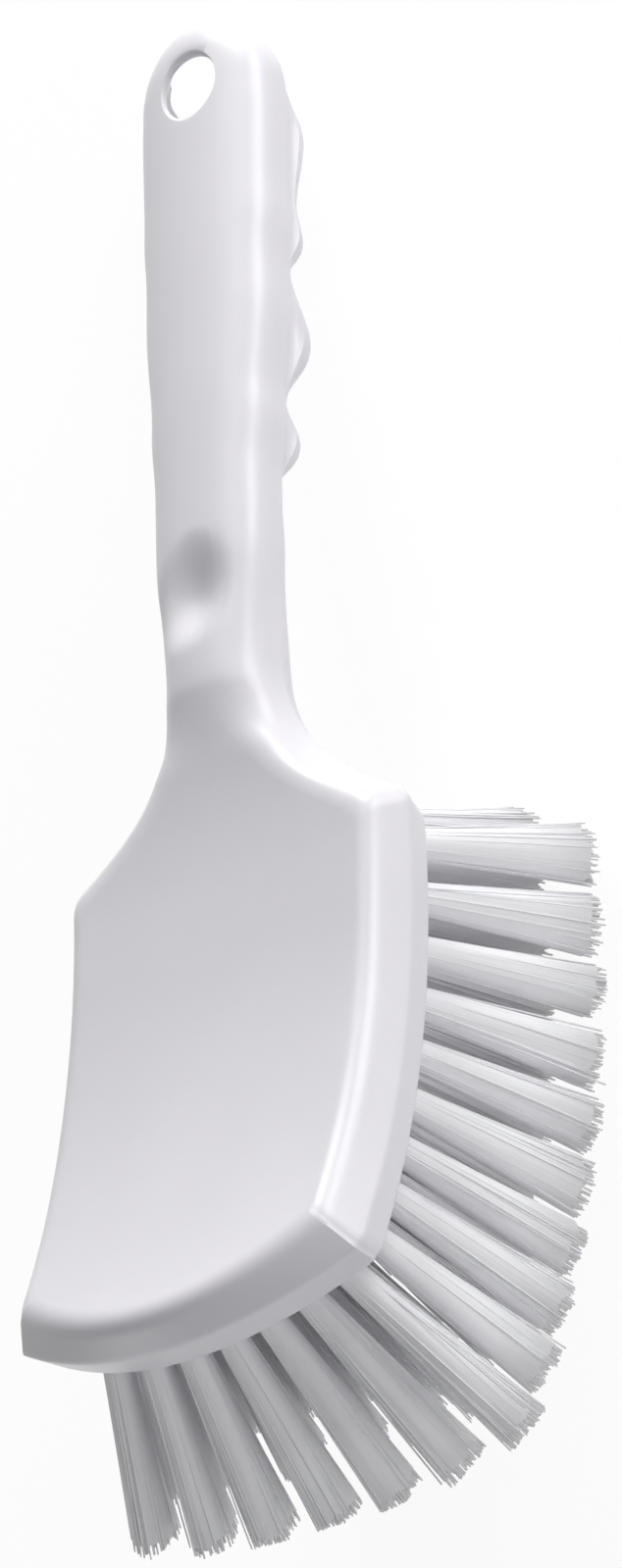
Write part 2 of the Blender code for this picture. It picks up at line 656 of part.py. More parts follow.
def build():
    """Make every piece in the frame of the block, and lay the brush down on the table."""
    for old in list(bpy.data.objects):
        bpy.data.objects.remove(old)
    polypropylene = material("white_polypropylene", (0.86, 0.87, 0.88), 0.25)
    filament = material("natural_pbt_filament", (0.72, 0.73, 0.74), 0.35)
    rows = grow_strands()
    handle_points = moulding_surface()[0]
    tips = [corner for row in rows[1:] for strand in row for corner in strand[1]]
    tilt = rest_tilt(handle_points, tips)
    table = lowest(tips, tilt) + REST_TRIM
    up = Vector((math.sin(tilt), 0.0, math.cos(tilt)))
    pieces = [make_moulding(polypropylene)]
    for row, strands in enumerate(rows, NECK_ROW):
        level = table + NECK_ROW_LIFT if row == NECK_ROW else table
        pieces.append(make_row(row, [trimmed(strand, up, level) for strand in strands], filament))
    reach = np.vstack((handle_points, np.array(tips)))
    along = reach[:, 0] * math.cos(tilt) - reach[:, 2] * math.sin(tilt)
    brush = bpy.data.objects.new("brush_pose", None)
    bpy.context.scene.collection.objects.link(brush)
    brush.rotation_euler = (0.0, -tilt, 0.0)
    brush.location = (-0.5 * float(along.min() + along.max()), 0.0, -table)
    for piece in pieces:
        piece.parent = brush


build()
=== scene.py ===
"""Looks of the short-handled cleaning brush: a glossy white moulding and eleven rows of milky bristles.

Shapes are worked out in the frame of the brush's block, X to the tip, Y to the right and Z to the back, and are
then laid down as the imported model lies: leaned tip up, and moved over the table.
"""

import math

import bpy
import numpy as np
from mathutils import Matrix, Vector


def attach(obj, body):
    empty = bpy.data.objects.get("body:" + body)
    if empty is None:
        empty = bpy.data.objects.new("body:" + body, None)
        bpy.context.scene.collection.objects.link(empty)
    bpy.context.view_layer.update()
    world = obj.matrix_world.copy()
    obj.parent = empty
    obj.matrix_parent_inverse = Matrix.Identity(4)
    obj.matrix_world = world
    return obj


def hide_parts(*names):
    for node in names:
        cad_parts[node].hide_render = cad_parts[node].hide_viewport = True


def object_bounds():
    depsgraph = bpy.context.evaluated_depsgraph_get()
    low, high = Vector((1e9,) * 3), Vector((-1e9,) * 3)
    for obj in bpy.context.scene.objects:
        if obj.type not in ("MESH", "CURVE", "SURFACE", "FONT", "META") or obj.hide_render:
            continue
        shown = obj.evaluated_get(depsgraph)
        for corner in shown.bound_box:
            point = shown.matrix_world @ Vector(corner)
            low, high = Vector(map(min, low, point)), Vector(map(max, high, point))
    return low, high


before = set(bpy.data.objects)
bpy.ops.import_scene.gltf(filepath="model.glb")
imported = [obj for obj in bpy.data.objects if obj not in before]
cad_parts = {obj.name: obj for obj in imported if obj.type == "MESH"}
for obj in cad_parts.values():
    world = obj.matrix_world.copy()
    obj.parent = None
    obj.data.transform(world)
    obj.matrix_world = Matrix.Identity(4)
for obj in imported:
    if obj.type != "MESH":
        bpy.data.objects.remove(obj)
cad_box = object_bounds()

MM = 0.001

# How the brush lies: leaned tip up, then moved along the table and lifted
REST_TILT_DEG = 26.799895
REST_SHIFT = 60.857326 * MM
REST_LIFT = 71.65318 * MM

# Back panel and wall of the block
PANEL_RADIUS = 180.0 * MM
BLOCK_THICKNESS = 14.5 * MM
RIM_HALF_WIDTH = 34.8 * MM
SIDE_HALF_LENGTH = 42.3 * MM
TIP_BULGE = 11.3 * MM
CORNER_CUT = 3.0 * MM
RIM_ROUNDING = 3.2 * MM
WALL_HEIGHT = 7.9 * MM
WALL_FLARE = 3.6 * MM
HEEL_FLARE = 5.0 * MM
SKIRT_DRAW = 1.3 * MM
HEEL_DRAW = 1.2 * MM
EDGE_ROUNDING = 1.2 * MM
PARTING_ROUNDING = 0.6 * MM

# Shoulder between block and neck
RIM_LEAN_DEG = 32.0
PARTING_LEAN_DEG = 27.0
RIM_CORNER_PULL = 20.0 * MM
RIM_CREST_PULL = 16.0 * MM
PARTING_CORNER_PULL = 14.0 * MM
PARTING_NECK_PULL = 14.0 * MM
SHOULDER_THICKNESS = 16.5 * MM

# Handle
CREST_REACH = 72.7 * MM
CREST_ROUNDING = 0.8 * MM
CREST_HALF_WIDTH = 1.6 * MM
HANDLE_RISE_DEG = 10.26
NECK_REACH = 78.0 * MM
NECK_HALF_WIDTH = 12.2 * MM
NECK_ROUNDING = 8.0 * MM
SLIM_REACH = 100.0 * MM
SLIM_THICKNESS = 13.7 * MM
GRIP_REACH = 176.0 * MM
GRIP_HALF_WIDTH = 15.4 * MM
BAR_ROUNDING = 9.0 * MM
BAR_DRAW = 1.4 * MM
BAR_WALL_HEIGHT = 10.0 * MM
WALL_PINCH_SHARE = 0.2
BAR_CROWN = 3.0 * MM
NECK_CROWN = 6.0 * MM
CROWN_LEAD = 14.0 * MM
END_REACH = 195.0 * MM
END_LENGTH = 15.0 * MM
FINGERS = (
    (114.0 * MM, 13.8 * MM),
    (126.0 * MM, 20.6 * MM),
    (132.5 * MM, 16.6 * MM),
    (147.0 * MM, 22.6 * MM),
    (159.5 * MM, 17.2 * MM),
    (167.0 * MM, 20.6 * MM),
    (173.5 * MM, 19.0 * MM),
    (188.5 * MM, 21.2 * MM),
    (204.0 * MM, 8.4 * MM),
)
FINGER_SCALLOP = 4.0 * MM
FINGER_FOLD = 4.0 * MM

# Hollow of the panel before the shoulder
HOLLOW_REACH = 20.0 * MM
HOLLOW_PULL = 5.6 * MM

# Thumb rest and hang hole
THUMB_REACH = 91.8 * MM
THUMB_SIDE = -1.2 * MM
THUMB_TURN_DEG = 16.0
THUMB_HALF_WIDTH = 10.4 * MM
THUMB_HALF_LENGTH = 12.4 * MM
THUMB_WIDENING_SHARE = 0.12
THUMB_DEPTH = 3.9 * MM
HANG_HOLE_REACH = 194.5 * MM
HANG_HOLE_RADIUS = 6.3 * MM
HANG_HOLE_ROUNDING = 1.3 * MM
HANG_HOLE_THROAT = 0.3 * MM
HANG_HOLE_MOUTH = 5.8 * MM
HANG_HOLE_MOUTH_DEPTH = 9.0 * MM
HANG_HOLE_LEAN_DEG = 32.0

# Tufts
TUFT_ROWS = 10
TUFT_COLUMNS = 7
NECK_ROW = -1
NECK_ROW_COLUMNS = 5
ROW_PITCH = 9.43 * MM
COLUMN_PITCH = 8.41 * MM
HEEL_ROW_REACH = 44.2 * MM
NECK_ROW_PITCH = 6.4 * MM
NECK_ROW_UPRIGHT_DEG = 2.0
TIP_ROW_BULGE = 3.4 * MM
FAN_MIDDLE_DEG = 6.3
FAN_PER_ROW_DEG = 5.4
FAN_PER_COLUMN_DEG = 7.28
TUFT_RADIUS = 2.5 * MM
TUFT_LENGTH = 45.0 * MM
TUFT_SPREAD = 2.1 * MM
HOLE_DEPTH = 10.5 * MM
HOLE_CLEARANCE = 0.3 * MM
OVERRUN = 6.0 * MM

# Filaments: gauge, how deep the fold sits, how unevenly clumps and single ends are cut, how far a few stray, and
# the packed core and the lobes of a tuft
FILAMENTS_PER_TUFT = 120
FILAMENT_SIDES = 4
FILAMENT_RADIUS = 0.17 * MM
FOLD_DEPTH = 8.0 * MM
CLUMPS_PER_TUFT = 7
CLUMP_STEP = 1.3 * MM
TIP_RAGGED = 0.35 * MM
CROWDING_POWER = 0.35
STRAY = 0.28 * MM
WIDE_STRAY = 1.4 * MM
WIDE_STRAY_SHARE = 0.04
WAVE = 0.1 * MM
CORE_SIDES = 16
CORE_FIT_SHARE = 0.97
CORE_REACH_SHARE = 0.955
CORE_RAGGED_SHARE = 0.03
SPLAY_LEAST = 1.0
SPLAY_MOST = 1.4
LOBES = 3
LOBE_SHARE = 0.07
STATION_SHARES = (0.0, 0.3, 0.6, 0.85, 1.0)
CORE_STATION_SHARES = (0.0, 0.3, 0.6, CORE_REACH_SHARE)
TABLE_CLEARANCE = 0.05 * MM
LEAST_STEP = 1e-6 * MM
RANDOM_SEED = 23

# Fineness of the moulding's mesh
ACROSS_STEPS = 22
BLOCK_STATIONS = 60
CORNER_STEPS = 8
SHOULDER_STATIONS = 48
NECK_STATIONS = 48
GRIP_STATIONS = 150
END_STATIONS = 26
FILLET_STEPS = 8
WALL_STEPS = 8
PARTING_STEPS = 3
HOLE_SIDES = 24
HANG_HOLE_SIDES = 96
PARTING_SHARE = 0.5
ROUND_SHARE = 0.7
FLANK_STEPS = 14
FLANK_SHARE = 0.4
SHARP_DEG = 40.0


def ease(t):
    """Smooth rise from 0 to 1, level at both ends: 3 t squared less 2 t cubed."""
    t = np.clip(t, 0.0, 1.0)
    return t * t * (3.0 - 2.0 * t)


def top_height(x):
    """Height of the back: the panel's circle about Y and the handle's straight line, as a rounded least of both."""
    arc = PANEL_RADIUS - np.sqrt(np.maximum(PANEL_RADIUS**2 - x**2, 0.0))
    crest = PANEL_RADIUS - math.sqrt(PANEL_RADIUS**2 - CREST_REACH**2)
    line = crest - (x + CREST_REACH) * math.tan(math.radians(HANDLE_RISE_DEG))
    line = np.where(x < -CREST_REACH / 2.0, line, arc + PANEL_RADIUS)
    return 0.5 * (arc + line - np.hypot(arc - line, CREST_ROUNDING))


def thickness(x):
    """Depth of the underside below the back, eased from one named place along the brush to the next."""
    places = ((SIDE_HALF_LENGTH, BLOCK_THICKNESS), (CREST_REACH, SHOULDER_THICKNESS))
    places += ((SLIM_REACH, SLIM_THICKNESS), *FINGERS)
    depth = np.full_like(x, BLOCK_THICKNESS)
    for (near, start), (far, end) in zip(places, places[1:]):
        depth = np.where(-x > near, start + (end - start) * ease((-x - near) / (far - near)), depth)
    return depth


def bar_share(x):
    """How far the neck has become the handle's bar: 0 at the crest, 1 where the handle is slimmest."""
    return ease((-x - CREST_REACH) / (SLIM_REACH - CREST_REACH))


def crown(x, y):
    """Fall of the handle's back towards both sides: a parabola across it, deepest at the neck, none on the panel."""
    neck = ease((-x - CREST_REACH + CROWN_LEAD) / CROWN_LEAD)
    return (NECK_CROWN * neck + (BAR_CROWN - NECK_CROWN) * bar_share(x)) * (y / GRIP_HALF_WIDTH) ** 2


def parting_depth(x):
    """Depth of the parting line below the back: the block's wall height, eased to the bar's own."""
    share = ease((-x - SIDE_HALF_LENGTH) / (CREST_REACH - SIDE_HALF_LENGTH))
    return WALL_HEIGHT + (BAR_WALL_HEIGHT - WALL_HEIGHT) * share


def thumb_dish(x, y):
    """Depth of the thumb rest: a pear-shaped bowl turned aside, whose depth eases from its middle to its rim."""
    turn = math.radians(THUMB_TURN_DEG)
    x, y = x + THUMB_REACH, y - THUMB_SIDE
    along = (x * math.cos(turn) - y * math.sin(turn)) / THUMB_HALF_LENGTH
    across = (x * math.sin(turn) + y * math.cos(turn)) / THUMB_HALF_WIDTH
    away = np.hypot(along, across / (1.0 + THUMB_WIDENING_SHARE * np.clip(along, -1.0, 1.0)))
    return THUMB_DEPTH * (1.0 - ease(away))


def shoulder_hollow(x):
    """Extra depth of the panel towards the shoulder: s squared less s cubed, from inside the panel to the crest."""
    s = np.clip((-x - HOLLOW_REACH) / (CREST_REACH - HOLLOW_REACH), 0.0, 1.0)
    return HOLLOW_PULL * s * s * (1.0 - s)


def curve(start, start_pull, end_pull, end, steps):
    """Cubic curve that leaves start along start_pull and arrives at end against end_pull."""
    t = np.linspace(0.0, 1.0, steps + 1)[:, None]
    corners = [np.array(p) for p in (start, (start[0] + start_pull[0], start[1] + start_pull[1]))]
    corners += [np.array((end[0] + end_pull[0], end[1] + end_pull[1])), np.array(end)]
    weights = ((1 - t) ** 3, 3 * t * (1 - t) ** 2, 3 * t * t * (1 - t), t**3)
    return sum(w * c for w, c in zip(weights, corners))


def bar_half_width(x):
    """Half-width of the handle's bar at its parting line, eased from neck to grip."""
    share = ease((-x - NECK_REACH) / (GRIP_REACH - NECK_REACH))
    return NECK_HALF_WIDTH + (GRIP_HALF_WIDTH - NECK_HALF_WIDTH) * share


def finger_share(x):
    """How far the underside stands out at the finger grips: 0 for the slim bar, 1 at the deepest crest."""
    deepest = max(depth for _, depth in FINGERS)
    return np.clip((thickness(x) - SLIM_THICKNESS) / (deepest - SLIM_THICKNESS), 0.0, 1.0)


def finger_window(x):
    """1 along the finger grips, easing to 0 before the first crest and past the last one."""
    start = ease((-x - SLIM_REACH) / (FINGERS[1][0] - SLIM_REACH))
    return start * (1.0 - ease((-x - FINGERS[-2][0]) / END_LENGTH))


def finger_pinch(x):
    """How far the underside is drawn in beside the grooves between the fingers."""
    return FINGER_SCALLOP * finger_window(x) * (1.0 - finger_share(x))


def round_corner(before, corner, after):
    """Quadratic round that cuts a corner of an outline short by the same length on both sides."""
    start = corner + CORNER_CUT * before
    end = corner + CORNER_CUT * after
    t = np.linspace(0.0, 1.0, 2 * CORNER_STEPS + 1)[:, None]
    return (1 - t) ** 2 * start + 2 * t * (1 - t) * corner + t * t * end


def side_stations(half_width, tip_flare, heel_flare, lean, corner_pull, neck, neck_pull, bar_inset):
    """Right-hand edge of one level, seen from the back: block side, heel corner, shoulder, bar, end corner."""
    tip = SIDE_HALF_LENGTH + tip_flare
    slope = np.array((2.0 * TIP_BULGE, -half_width)) / math.hypot(2.0 * TIP_BULGE, half_width)
    tip_corner = round_corner(slope, np.array((tip, half_width)), np.array((-1.0, 0.0)))
    away = np.array((-math.sin(lean), -math.cos(lean)))
    heel = np.array((-SIDE_HALF_LENGTH - heel_flare, half_width))
    heel_corner = round_corner(np.array((1.0, 0.0)), heel, away)
    side_x = np.linspace(tip_corner[-1, 0], heel_corner[0, 0], BLOCK_STATIONS)[1:-1]
    side = np.stack((side_x, np.full_like(side_x, half_width)), 1)
    neck_end = (-NECK_REACH, neck)
    shoulder = curve(heel_corner[-1], away * corner_pull, (neck_pull, 0.0), neck_end, SHOULDER_STATIONS)
    first, last = FINGERS[0][0], END_REACH
    neck_x = np.linspace(-NECK_REACH, -first, NECK_STATIONS + 1)[1:]
    bar_x = np.concatenate((neck_x, np.linspace(-first, -last, GRIP_STATIONS + 1)[1:]))
    settle = 1.0 - ease((-bar_x - NECK_REACH) / (SLIM_REACH - NECK_REACH))
    inset = bar_inset(bar_x)
    bar_y = bar_half_width(bar_x) - inset + settle * (neck - bar_half_width(bar_x) + inset)
    bar = np.stack((bar_x, bar_y), 1)
    turn = np.linspace(0.0, math.pi / 4.0, END_STATIONS + 1)[1:, None]
    length = END_LENGTH + bar_y[-1] - GRIP_HALF_WIDTH
    end = np.hstack((-END_REACH - length * np.sin(turn), bar_y[-1] * np.cos(turn)))
    return np.vstack((tip_corner[CORNER_STEPS:], side, heel_corner, shoulder[1:], bar, end))


def level_grid(half_width, tip_flare, *edge):
    """Points of one level, seen from the back, as rows across the brush from the tip edge to the handle's end."""
    side = side_stations(half_width, tip_flare, *edge)
    share = np.sin(np.linspace(-math.pi / 2.0, math.pi / 2.0, 2 * ACROSS_STEPS + 1))
    y = side[:, 1:] * share
    tip_x = SIDE_HALF_LENGTH + tip_flare + TIP_BULGE * (1.0 - (y[0] / half_width) ** 2)
    tip_x[[0, -1]] = side[0, 0]
    end_width = side[-1, 1] * math.sqrt(2.0)
    length = END_LENGTH + end_width - GRIP_HALF_WIDTH
    end_x = -END_REACH - length * np.sqrt(1.0 - (y[-1] / end_width) ** 2)
    tip_part = np.clip((side[:, :1] + SIDE_HALF_LENGTH) / (side[0, 0] + SIDE_HALF_LENGTH), 0.0, 1.0)
    end_part = np.clip((-side[:, :1] - END_REACH) / (-side[-1, 0] - END_REACH), 0.0, 1.0) ** 2
    x = side[:, :1] + tip_part * (tip_x - side[0, 0]) + end_part * (end_x - side[-1, 0])
    return np.stack((x, y), 2)


def around(grid):
    """Outer loop of a grid: along the tip edge, down the right side, back along the end and up the left side."""
    return np.concatenate((grid[0], grid[1:, -1], grid[-1, -2::-1], grid[-2:0:-1, 0]))


def rim_rounding(x):
    """Tangent length of the round between the back and the wall: tight on the block, wide at neck and bar."""
    neck = ease((-x - SIDE_HALF_LENGTH - NECK_ROUNDING) / (CREST_REACH - SIDE_HALF_LENGTH - NECK_ROUNDING))
    block = RIM_ROUNDING + (NECK_ROUNDING - RIM_ROUNDING) * neck
    return block + (BAR_ROUNDING - NECK_ROUNDING) * bar_share(x)


def edge_rounding(x):
    """Tangent length of the round between the wall and the underside."""
    neck = ease((-x - SIDE_HALF_LENGTH) / (CREST_REACH - SIDE_HALF_LENGTH))
    return EDGE_ROUNDING + (BAR_ROUNDING - EDGE_ROUNDING) * neck


def bend(start, corner, end, steps):
    """Rings of points on the quadratic curve from start to end that is drawn towards corner."""
    places = np.linspace(0, 1, steps + 1)[1:]
    return [(1 - t) ** 2 * start + 2 * t * (1 - t) * corner + t * t * end for t in places]


def sweep(start, leave, arrive, end, steps):
    """Rings of points on the cubic curve from start to end, given what it leaves for and arrives from."""
    rings = []
    for t in np.linspace(0, 1, steps + 1)[1:]:
        s = 1 - t
        rings.append(s**3 * start + 3 * t * s * s * leave + 3 * t * t * s * arrive + t**3 * end)
    return rings


def lifted(points, drop):
    """Plan points as points in space, dropped below the back."""
    return np.column_stack((points, top_height(points[:, 0]) - drop))


def towards(start, end, distance):
    """Point at a distance from start towards end, at most a share of the way."""
    step = end - start
    length = np.linalg.norm(step, axis=1)[:, None]
    return start + step * np.minimum(distance / length, PARTING_SHARE)


def moulding_rings(flat, parting, foot, sole):
    """Closed rings from the edge of the back's face over rim, wall and parting line to the underside."""
    x = flat[:, 0]
    reach = np.linalg.norm(parting - flat, axis=1)[:, None]
    out = (parting - flat) / reach
    tangent = np.minimum(rim_rounding(x)[:, None], reach)
    corner = flat + out * tangent
    fallen = crown(*flat.T)
    start = lifted(flat, fallen)
    slope = 2.0 * crown(x, np.full_like(x, GRIP_HALF_WIDTH)) * flat[:, 1] / GRIP_HALF_WIDTH**2
    corner = lifted(corner, fallen + slope * (corner - flat)[:, 1])
    line = lifted(parting, parting_depth(parting[:, 0]))
    wall = line - corner
    length = np.linalg.norm(wall, axis=1)[:, None]
    lip = ease((-x - SIDE_HALF_LENGTH) / (CREST_REACH - SIDE_HALF_LENGTH))[:, None]
    fall = corner + wall * np.minimum(tangent / length, PARTING_SHARE + (ROUND_SHARE - PARTING_SHARE) * lip)
    middle = 0.5 * (fall + line)
    above = towards(line, middle, PARTING_ROUNDING)
    rings = [start] + bend(start, corner, fall, FILLET_STEPS) + bend(fall, middle, above, WALL_STEPS)
    low = lifted(foot, thickness(foot[:, 0]))
    end = lifted(sole, thickness(sole[:, 0]))
    start = towards(low, line, edge_rounding(x)[:, None])
    leave, arrive = flank_pulls(line, start, out, lip)
    below = towards(line, leave, PARTING_ROUNDING)
    rings += bend(above, line, below, PARTING_STEPS) + sweep(below, leave, arrive, start, FLANK_STEPS)
    return rings + bend(start, low, end, FILLET_STEPS)


def flank_pulls(line, start, out, lip):
    """Where the lower flank heads: straight on the block, upright on the handle, folded in at crests."""
    step = start - line
    drop = np.zeros_like(step)
    drop[:, 2] = step[:, 2]
    leave = line + step / 3.0 * (1.0 - lip) + drop * FLANK_SHARE * lip
    arrive = start - step / 3.0 * (1.0 - lip) - drop * FLANK_SHARE * lip
    x = line[:, 0]
    arrive[:, :2] -= out * (FINGER_FOLD * finger_window(x) * finger_share(x) ** 2)[:, None]
    return leave, arrive


def levels():
    """The four levels of the moulding: edge of the back, parting line, foot of the wall, sole's edge."""
    rim_lean = math.radians(RIM_LEAN_DEG)
    parting_lean = math.radians(PARTING_LEAN_DEG)
    rim_inset = RIM_ROUNDING * math.tan(math.pi / 4.0 - rim_lean / 2.0)
    edge_inset = EDGE_ROUNDING * math.tan(math.pi / 4.0 - parting_lean / 2.0)
    parting_half_width = RIM_HALF_WIDTH + WALL_FLARE
    foot_half_width = parting_half_width - SKIRT_DRAW
    foot_flare = WALL_FLARE - SKIRT_DRAW
    foot_heel = HEEL_FLARE - HEEL_DRAW
    foot_neck = NECK_HALF_WIDTH - BAR_DRAW
    flat = level_grid(
        RIM_HALF_WIDTH - RIM_ROUNDING, -RIM_ROUNDING, -rim_inset, rim_lean,
        RIM_CORNER_PULL, CREST_HALF_WIDTH, RIM_CREST_PULL, lambda x: np.full_like(x, BAR_ROUNDING),
    )
    parting = level_grid(
        parting_half_width, WALL_FLARE, HEEL_FLARE, parting_lean,
        PARTING_CORNER_PULL, NECK_HALF_WIDTH, PARTING_NECK_PULL, lambda x: WALL_PINCH_SHARE * finger_pinch(x),
    )
    foot = level_grid(
        foot_half_width, foot_flare, foot_heel, parting_lean,
        PARTING_CORNER_PULL, foot_neck, PARTING_NECK_PULL, lambda x: BAR_DRAW + finger_pinch(x),
    )
    sole = level_grid(
        foot_half_width - EDGE_ROUNDING, foot_flare - EDGE_ROUNDING, foot_heel - edge_inset, parting_lean,
        PARTING_CORNER_PULL, foot_neck - BAR_ROUNDING, PARTING_NECK_PULL,
        lambda x: BAR_DRAW + BAR_ROUNDING + finger_pinch(x),
    )
    return flat, parting, foot, sole


def moulding_surface():
    """Points and faces of handle and block as one closed skin: back, rings of the wall, sole."""
    flat, parting, foot, sole = levels()
    rows, across = flat.shape[:2]
    plan = flat.reshape(-1, 2).T
    back = lifted(plan.T, crown(*plan))
    under = lifted(sole.reshape(-1, 2), thickness(sole[..., 0].ravel()))
    rings = moulding_rings(*(around(level) for level in (flat, parting, foot, sole)))[1:-1]
    dished = FILLET_STEPS + WALL_STEPS
    for points, share in [(back, 1.0)] + [(ring, 1.0 - ease(k / dished)) for k, ring in enumerate(rings[:dished])]:
        points[:, 2] -= share * thumb_dish(points[:, 0], points[:, 1])
        points[:, 2] -= share**4 * shoulder_hollow(points[:, 0])
    grid = np.arange(rows * across).reshape(rows, across)
    count = len(rings[0])
    loops = [around(grid[..., None])[:, 0]]
    loops += [rows * across + k * count + np.arange(count) for k in range(len(rings))]
    low_grid = grid + rows * across + len(rings) * count
    loops.append(around(low_grid[..., None])[:, 0])
    faces = [quads(grid[:-1, :-1], grid[:-1, 1:], grid[1:, 1:], grid[1:, :-1])]
    for upper, lower in zip(loops, loops[1:]):
        faces.append(quads(upper, lower, np.roll(lower, -1), np.roll(upper, -1)))
    faces.append(quads(low_grid[:-1, :-1], low_grid[1:, :-1], low_grid[1:, 1:], low_grid[:-1, 1:]))
    return np.vstack([back, *rings, under]), np.vstack(faces)


def quads(*corners):
    """Four-cornered faces from four arrays of point numbers."""
    return np.stack([c.ravel() for c in corners], 1)


def laid_down(points):
    """Points of the block's frame where the brush lies on the table: turned about Y, then moved."""
    tilt = math.radians(REST_TILT_DEG)
    x, y, z = points[..., 0], points[..., 1], points[..., 2]
    along = x * math.cos(tilt) - z * math.sin(tilt) + REST_SHIFT
    height = x * math.sin(tilt) + z * math.cos(tilt) + REST_LIFT
    return np.stack((along, y, height), -1)


def add_mesh(name, points, faces, uv=None):
    """Mesh from an array of points and an array of four-cornered faces, shaded smooth, with a UV pair a corner."""
    mesh = bpy.data.meshes.new(name)
    mesh.vertices.add(len(points))
    mesh.vertices.foreach_set("co", points.astype(np.float32).ravel())
    mesh.loops.add(faces.size)
    mesh.loops.foreach_set("vertex_index", faces.astype(np.int32).ravel())
    mesh.polygons.add(len(faces))
    mesh.polygons.foreach_set("loop_start", np.arange(0, faces.size, 4, dtype=np.int32))
    mesh.update(calc_edges=True)
    mesh.validate()
    mesh.shade_smooth()
    if uv is not None:
        layer = mesh.uv_layers.new(name="strand")
        layer.data.foreach_set("uv", uv[faces].astype(np.float32).ravel())
    return mesh


def add_object(name, mesh):
    """Object of a mesh, linked to the scene."""
    piece = bpy.data.objects.new(name, mesh)
    bpy.context.scene.collection.objects.link(piece)
    return piece


def revolved_faces(rings, sides, first):
    """Quads between rings of equally many points, and fans of quads over both end rings, numbered from first."""
    ids = first + np.arange(rings * sides).reshape(rings, sides)
    after = np.roll(ids, -1, 1)
    walls = quads(ids[:-1], after[:-1], after[1:], ids[1:])
    half = np.arange(1, sides // 2)
    low = quads(ids[0, half - 1], ids[0, -half], ids[0, -half - 1], ids[0, half])
    high = quads(ids[-1, half - 1], ids[-1, half], ids[-1, -half - 1], ids[-1, -half])
    return np.vstack((walls, low, high))


def tuft_seats(row):
    """Middles of one row's tuft holes in the sole, and the directions in which its tufts leave them."""
    spare = (TUFT_COLUMNS - NECK_ROW_COLUMNS) // 2 if row == NECK_ROW else 0
    y = (np.arange(spare, TUFT_COLUMNS - spare) - (TUFT_COLUMNS - 1) / 2.0) * COLUMN_PITCH
    place = -HEEL_ROW_REACH - NECK_ROW_PITCH if row == NECK_ROW else row * ROW_PITCH - HEEL_ROW_REACH
    bulge = TIP_ROW_BULGE * (1.0 - (2.0 * y / ((TUFT_COLUMNS - 1) * COLUMN_PITCH)) ** 2)
    x = place + bulge * (row == TUFT_ROWS - 1)
    along = np.radians(FAN_MIDDLE_DEG + FAN_PER_ROW_DEG * x / ROW_PITCH)
    along += np.radians(NECK_ROW_UPRIGHT_DEG) * (row == NECK_ROW)
    across = np.radians(FAN_PER_COLUMN_DEG * y / COLUMN_PITCH)
    seat = np.stack((x, y, top_height(x) - thickness(x)), -1)
    leave = np.stack((np.sin(along) * np.cos(across), np.sin(across), -np.cos(along) * np.cos(across)), -1)
    return seat, leave


def turned(radius, height, shift, centre, axis, sides):
    """Rings of a turned body: radii and heights along an axis, each ring shifted against the axis's own side."""
    axis = np.array(axis) / np.linalg.norm(axis)
    side = np.cross(axis, (0.0, 1.0, 0.0))
    side /= np.linalg.norm(side)
    up = np.cross(axis, side)
    angle = np.linspace(0.0, math.tau, sides, endpoint=False)[None, :, None]
    radius, height, shift = (np.array(part)[:, None, None] for part in (radius, height, shift))
    return centre + height * axis + shift * side + radius * (np.cos(angle) * side + np.sin(angle) * up)


def hang_hole_profile():
    """Radii, heights and shifts of the hang hole: mouth leaning to the end, short throat, round lip."""
    turn = np.linspace(0.0, math.pi / 2.0, FILLET_STEPS + 1)
    wide = HANG_HOLE_RADIUS + HANG_HOLE_ROUNDING
    throat = HANG_HOLE_THROAT + HANG_HOLE_ROUNDING
    below = max(depth for _, depth in FINGERS) + OVERRUN
    lean = math.tan(math.radians(HANG_HOLE_LEAN_DEG))
    mouth = HANG_HOLE_RADIUS + HANG_HOLE_MOUTH
    lip_radius = wide - HANG_HOLE_ROUNDING * np.cos(turn)
    lip_height = HANG_HOLE_ROUNDING * (np.sin(turn) - 1.0)
    radius = np.concatenate(([mouth, mouth, HANG_HOLE_RADIUS], lip_radius, [wide + OVERRUN]))
    height = np.concatenate(([-below, -HANG_HOLE_MOUTH_DEPTH, -throat], lip_height, [OVERRUN]))
    shift = np.zeros_like(radius)
    shift[:2] = (below - throat) * lean, (HANG_HOLE_MOUTH_DEPTH - throat) * lean
    return radius, height, shift


